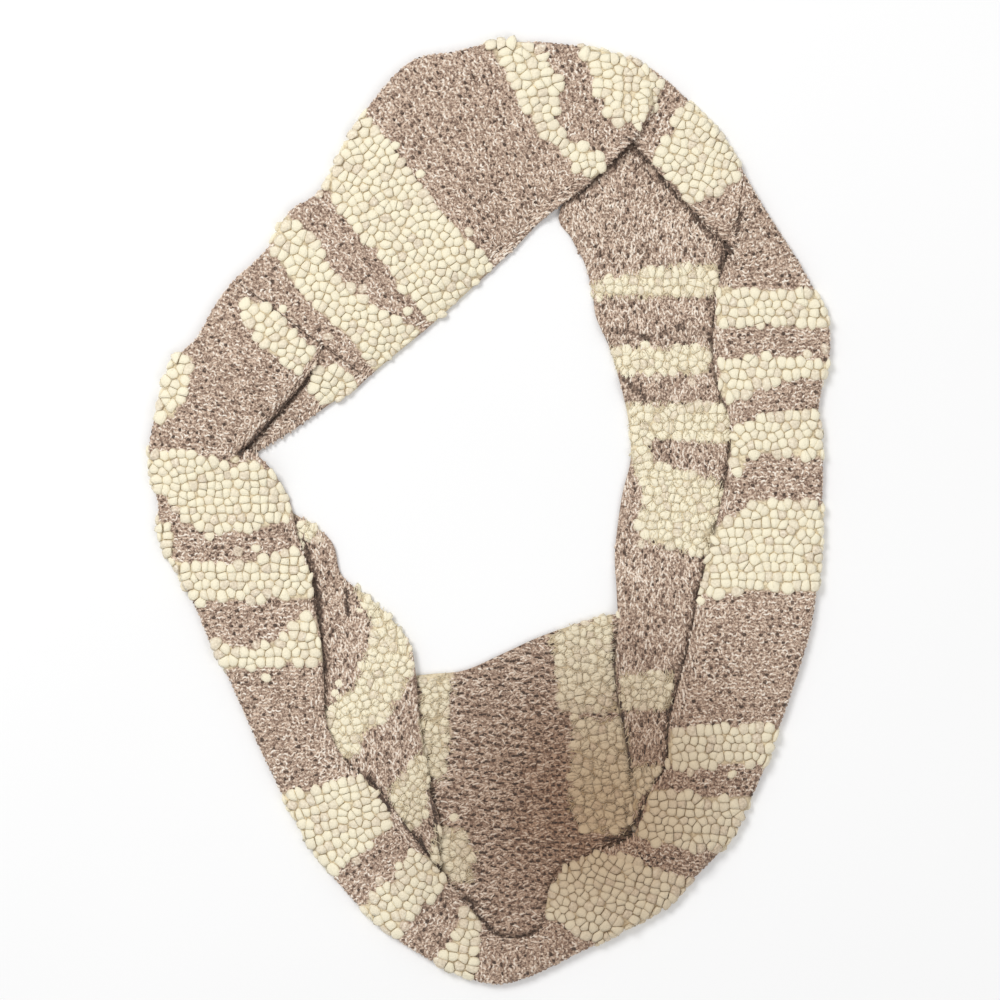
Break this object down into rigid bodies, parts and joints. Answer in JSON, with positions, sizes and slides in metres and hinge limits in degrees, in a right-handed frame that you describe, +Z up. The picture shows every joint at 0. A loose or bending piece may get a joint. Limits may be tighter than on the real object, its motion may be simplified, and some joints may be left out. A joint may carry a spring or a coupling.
{
  "type": "infinity scarf",
  "caption": "Chunky knitted infinity scarf with striped bobble texture, folded lengthwise and laid flat as an open ring.",
  "frame": {"origin": "centre of the bounding box on the surface the scarf lies on", "axes": "+Z up from the surface, +Y along the ring's long side towards the top of the picture, +X to the right of the picture"},
  "size_m": [0.5061, 0.699, 0.0164],
  "materials": {
    "marled_knit": "marled taupe yarn, matt, soft nap",
    "bobble_knit": "cream bobble yarn, matt, fluffy"
  },
  "bodies": {
    "root": {"upper_left_stretch": "marled_knit", "top_turn": "marled_knit", "right_stretch": "marled_knit", "bottom_stretch": "marled_knit", "left_stretch": "marled_knit", "left_tuck": "bobble_knit"}
  },
  "joints": []
}
